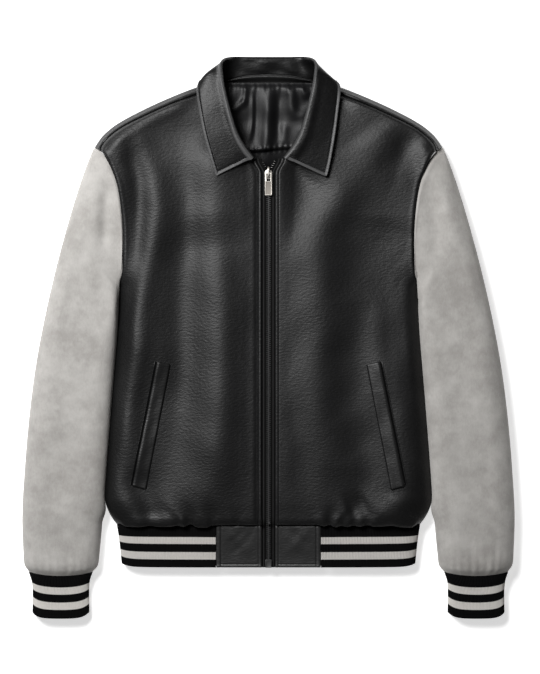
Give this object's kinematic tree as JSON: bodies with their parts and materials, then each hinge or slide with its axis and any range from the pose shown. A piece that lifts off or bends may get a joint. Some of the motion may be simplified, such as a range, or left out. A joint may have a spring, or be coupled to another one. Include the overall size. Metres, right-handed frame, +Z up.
{
  "type": "varsity jacket",
  "caption": "Zip-front varsity jacket laid flat on its back: leather body with a fold-down collar, suede sleeves, striped rib-knit cuffs and hem.",
  "frame": {"origin": "centre of the jacket's bounding box, on the surface that its back lies on", "axes": "+Y from the hem to the collar, +Z up from the surface through the back to the front, +X towards the wearer's left sleeve"},
  "size_m": [0.6856, 0.7829, 0.0493],
  "materials": {
    "leather": "semi-gloss grained black",
    "suede": "matt napped light grey",
    "rib_knit": "matt rib knit, black with light grey stripes",
    "satin": "glossy black satin",
    "zip_tape": "matt woven black",
    "zip_teeth": "satin black",
    "zip_metal": "satin nickel"
  },
  "bodies": {
    "jacket": {"back": "leather", "front_left": "leather", "front_right": "leather", "pocket_welt_left": "leather", "pocket_welt_right": "leather", "hem_tab_left": "leather", "hem_tab_right": "leather", "collar": "leather", "back_neck_facing": "leather", "sleeve_left": "suede", "sleeve_right": "suede", "cuff_left": "rib_knit", "cuff_right": "rib_knit", "hem_knit": "rib_knit", "back_lining": "satin", "zip_tape_left": "zip_tape", "zip_tape_right": "zip_tape", "zip_chain": "zip_teeth", "zip_box": "zip_teeth", "zip_slider": "zip_metal"},
    "pull": {"zip_pull": "zip_metal"}
  },
  "joints": [
    {"name": "pull_hinge", "type": "hinge", "parent": "jacket", "child": "pull", "pos_m": [0, 0.226, 0.04185], "axis": [-1, 0, 0], "range_deg": [0, 150]}
  ]
}
